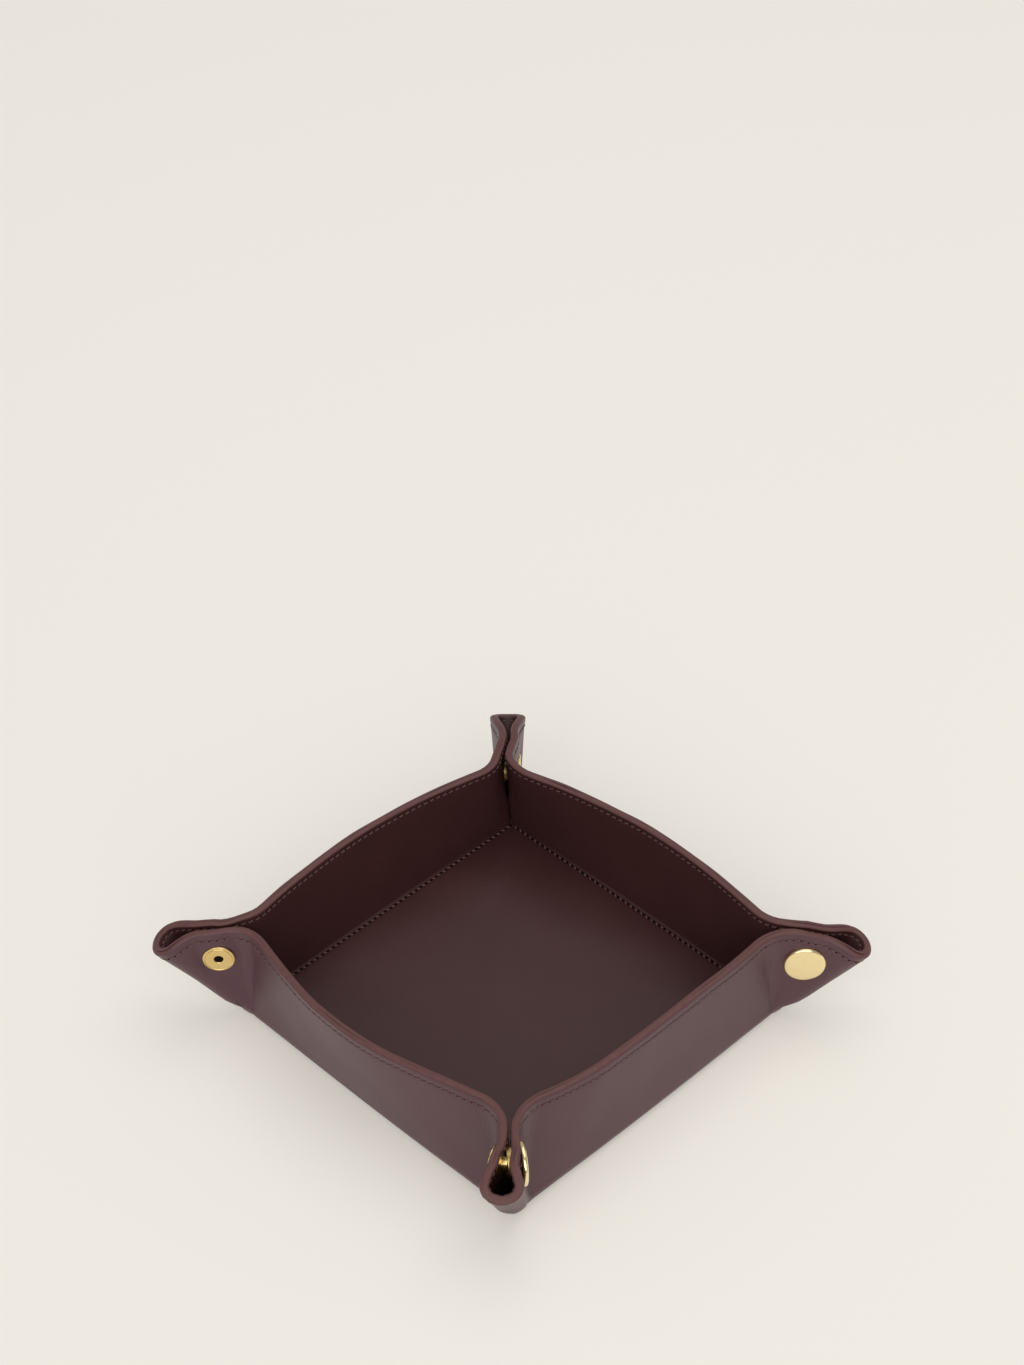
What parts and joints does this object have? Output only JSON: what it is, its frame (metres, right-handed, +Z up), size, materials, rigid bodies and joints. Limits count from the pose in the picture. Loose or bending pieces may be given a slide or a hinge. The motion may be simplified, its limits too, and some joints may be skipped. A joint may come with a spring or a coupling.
{
  "type": "folding travel tray",
  "caption": "Square leather tray with a stiffened base; its corners are pinched into looped ears held by press studs and open so that it lies flat for travel.",
  "frame": {"origin": "middle of the underside of the base, on the table", "axes": "+Z up out of the tray; X and Y square to the walls"},
  "size_m": [0.1724, 0.1724, 0.0396],
  "materials": {
    "leather_outer": "smooth, slight sheen",
    "leather_lining": "smooth, matt",
    "board": "plain fibre board",
    "cap_metal": "polished pale gold",
    "stud_metal": "polished brass"
  },
  "bodies": {
    "base": {"base_outer": "leather_outer", "base_board": "board", "base_lining": "leather_lining"},
    "wall_n": {"wall_n_outer": "leather_outer", "wall_n_lining": "leather_lining"},
    "wall_w": {"wall_w_outer": "leather_outer", "wall_w_lining": "leather_lining"},
    "wall_s": {"wall_s_outer": "leather_outer", "wall_s_lining": "leather_lining"},
    "wall_e": {"wall_e_outer": "leather_outer", "wall_e_lining": "leather_lining"},
    "flank_ne_n": {"flank_ne_n_outer": "leather_outer", "flank_ne_n_lining": "leather_lining", "snap_ne_cap": "cap_metal", "snap_ne_socket": "stud_metal"},
    "tip_ne_n": {"tip_ne_n_outer": "leather_outer", "tip_ne_n_lining": "leather_lining"},
    "flank_nw_n": {"flank_nw_n_outer": "leather_outer", "flank_nw_n_lining": "leather_lining", "snap_nw_cap": "cap_metal", "snap_nw_socket": "stud_metal"},
    "tip_nw_n": {"tip_nw_n_outer": "leather_outer", "tip_nw_n_lining": "leather_lining"},
    "flank_nw_w": {"flank_nw_w_outer": "leather_outer", "flank_nw_w_lining": "leather_lining", "snap_nw_stud": "stud_metal", "snap_nw_post": "stud_metal"},
    "tip_nw_w": {"tip_nw_w_outer": "leather_outer", "tip_nw_w_lining": "leather_lining"},
    "flank_sw_w": {"flank_sw_w_outer": "leather_outer", "flank_sw_w_lining": "leather_lining", "snap_sw_stud": "stud_metal", "snap_sw_post": "stud_metal"},
    "tip_sw_w": {"tip_sw_w_outer": "leather_outer", "tip_sw_w_lining": "leather_lining"},
    "flank_sw_s": {"flank_sw_s_outer": "leather_outer", "flank_sw_s_lining": "leather_lining", "snap_sw_cap": "cap_metal", "snap_sw_socket": "stud_metal"},
    "tip_sw_s": {"tip_sw_s_outer": "leather_outer", "tip_sw_s_lining": "leather_lining"},
    "flank_se_s": {"flank_se_s_outer": "leather_outer", "flank_se_s_lining": "leather_lining", "snap_se_cap": "cap_metal", "snap_se_socket": "stud_metal"},
    "tip_se_s": {"tip_se_s_outer": "leather_outer", "tip_se_s_lining": "leather_lining"},
    "flank_se_e": {"flank_se_e_outer": "leather_outer", "flank_se_e_lining": "leather_lining", "snap_se_stud": "stud_metal", "snap_se_post": "stud_metal"},
    "tip_se_e": {"tip_se_e_outer": "leather_outer", "tip_se_e_lining": "leather_lining"},
    "flank_ne_e": {"flank_ne_e_outer": "leather_outer", "flank_ne_e_lining": "leather_lining", "snap_ne_stud": "stud_metal", "snap_ne_post": "stud_metal"},
    "tip_ne_e": {"tip_ne_e_outer": "leather_outer", "tip_ne_e_lining": "leather_lining"}
  },
  "joints": [
    {"name": "fold_n", "type": "hinge", "parent": "base", "child": "wall_n", "pos_m": [0, 0.0634, 0.002], "axis": [-1, 0, 0], "range_deg": [0, 80]},
    {"name": "fold_w", "type": "hinge", "parent": "base", "child": "wall_w", "pos_m": [-0.0634, 0, 0.002], "axis": [0, -1, 0], "range_deg": [0, 80]},
    {"name": "fold_s", "type": "hinge", "parent": "base", "child": "wall_s", "pos_m": [0, -0.0634, 0.002], "axis": [1, 0, 0], "range_deg": [0, 80]},
    {"name": "fold_e", "type": "hinge", "parent": "base", "child": "wall_e", "pos_m": [0.0634, 0, 0.002], "axis": [0, 1, 0], "range_deg": [0, 80]},
    {"name": "crease_ne_n", "type": "hinge", "parent": "wall_n", "child": "flank_ne_n", "pos_m": [0.05886, 0.06313, 0.01978], "axis": [0.0029, 0.0522, -0.9986], "range_deg": [0, 46.44]},
    {"name": "roll_ne_n", "type": "hinge", "parent": "flank_ne_n", "child": "tip_ne_n", "pos_m": [0.07008, 0.07318, 0.01691], "axis": [0.4485, 0.4765, 0.7561], "range_deg": [0, 82.04], "deforming": ["tip_ne_n_outer", "tip_ne_n_lining"]},
    {"name": "crease_nw_n", "type": "hinge", "parent": "wall_n", "child": "flank_nw_n", "pos_m": [-0.05886, 0.06313, 0.01978], "axis": [0.0029, -0.0522, 0.9986], "range_deg": [0, 46.44]},
    {"name": "roll_nw_n", "type": "hinge", "parent": "flank_nw_n", "child": "tip_nw_n", "pos_m": [-0.07008, 0.07318, 0.01691], "axis": [0.4485, -0.4765, -0.7561], "range_deg": [0, 82.04], "deforming": ["tip_nw_n_outer", "tip_nw_n_lining"]},
    {"name": "crease_nw_w", "type": "hinge", "parent": "wall_w", "child": "flank_nw_w", "pos_m": [-0.06313, 0.05886, 0.01978], "axis": [-0.0522, 0.0029, -0.9986], "range_deg": [0, 46.44]},
    {"name": "roll_nw_w", "type": "hinge", "parent": "flank_nw_w", "child": "tip_nw_w", "pos_m": [-0.07318, 0.07008, 0.01691], "axis": [-0.4765, 0.4485, 0.7561], "range_deg": [0, 82.04], "deforming": ["tip_nw_w_outer", "tip_nw_w_lining"]},
    {"name": "crease_sw_w", "type": "hinge", "parent": "wall_w", "child": "flank_sw_w", "pos_m": [-0.06313, -0.05886, 0.01978], "axis": [0.0522, 0.0029, 0.9986], "range_deg": [0, 46.44]},
    {"name": "roll_sw_w", "type": "hinge", "parent": "flank_sw_w", "child": "tip_sw_w", "pos_m": [-0.07318, -0.07008, 0.01691], "axis": [0.4765, 0.4485, -0.7561], "range_deg": [0, 82.04], "deforming": ["tip_sw_w_outer", "tip_sw_w_lining"]},
    {"name": "crease_sw_s", "type": "hinge", "parent": "wall_s", "child": "flank_sw_s", "pos_m": [-0.05886, -0.06313, 0.01978], "axis": [-0.0029, -0.0522, -0.9986], "range_deg": [0, 46.44]},
    {"name": "roll_sw_s", "type": "hinge", "parent": "flank_sw_s", "child": "tip_sw_s", "pos_m": [-0.07008, -0.07318, 0.01691], "axis": [-0.4485, -0.4765, 0.7561], "range_deg": [0, 82.04], "deforming": ["tip_sw_s_outer", "tip_sw_s_lining"]},
    {"name": "crease_se_s", "type": "hinge", "parent": "wall_s", "child": "flank_se_s", "pos_m": [0.05886, -0.06313, 0.01978], "axis": [-0.0029, 0.0522, 0.9986], "range_deg": [0, 46.44]},
    {"name": "roll_se_s", "type": "hinge", "parent": "flank_se_s", "child": "tip_se_s", "pos_m": [0.07008, -0.07318, 0.01691], "axis": [-0.4485, 0.4765, -0.7561], "range_deg": [0, 82.04], "deforming": ["tip_se_s_outer", "tip_se_s_lining"]},
    {"name": "crease_se_e", "type": "hinge", "parent": "wall_e", "child": "flank_se_e", "pos_m": [0.06313, -0.05886, 0.01978], "axis": [0.0522, -0.0029, -0.9986], "range_deg": [0, 46.44]},
    {"name": "roll_se_e", "type": "hinge", "parent": "flank_se_e", "child": "tip_se_e", "pos_m": [0.07318, -0.07008, 0.01691], "axis": [0.4765, -0.4485, 0.7561], "range_deg": [0, 82.04], "deforming": ["tip_se_e_outer", "tip_se_e_lining"]},
    {"name": "crease_ne_e", "type": "hinge", "parent": "wall_e", "child": "flank_ne_e", "pos_m": [0.06313, 0.05886, 0.01978], "axis": [-0.0522, -0.0029, 0.9986], "range_deg": [0, 46.44]},
    {"name": "roll_ne_e", "type": "hinge", "parent": "flank_ne_e", "child": "tip_ne_e", "pos_m": [0.07318, 0.07008, 0.01691], "axis": [-0.4765, -0.4485, -0.7561], "range_deg": [0, 82.04], "deforming": ["tip_ne_e_outer", "tip_ne_e_lining"]}
  ],
  "couplings": [
    {"joint": "fold_w", "follows": "fold_n", "ratio": 1},
    {"joint": "fold_s", "follows": "fold_n", "ratio": 1},
    {"joint": "fold_e", "follows": "fold_n", "ratio": 1},
    {"joint": "crease_ne_n", "follows": "fold_n", "ratio": 0.58035},
    {"joint": "roll_ne_n", "follows": "fold_n", "ratio": 1.0253},
    {"joint": "crease_nw_n", "follows": "fold_n", "ratio": 0.58035},
    {"joint": "roll_nw_n", "follows": "fold_n", "ratio": 1.0253},
    {"joint": "crease_nw_w", "follows": "fold_n", "ratio": 0.58035},
    {"joint": "roll_nw_w", "follows": "fold_n", "ratio": 1.0253},
    {"joint": "crease_sw_w", "follows": "fold_n", "ratio": 0.58035},
    {"joint": "roll_sw_w", "follows": "fold_n", "ratio": 1.0253},
    {"joint": "crease_sw_s", "follows": "fold_n", "ratio": 0.58035},
    {"joint": "roll_sw_s", "follows": "fold_n", "ratio": 1.0253},
    {"joint": "crease_se_s", "follows": "fold_n", "ratio": 0.58035},
    {"joint": "roll_se_s", "follows": "fold_n", "ratio": 1.0253},
    {"joint": "crease_se_e", "follows": "fold_n", "ratio": 0.58035},
    {"joint": "roll_se_e", "follows": "fold_n", "ratio": 1.0253},
    {"joint": "crease_ne_e", "follows": "fold_n", "ratio": 0.58035},
    {"joint": "roll_ne_e", "follows": "fold_n", "ratio": 1.0253}
  ]
}
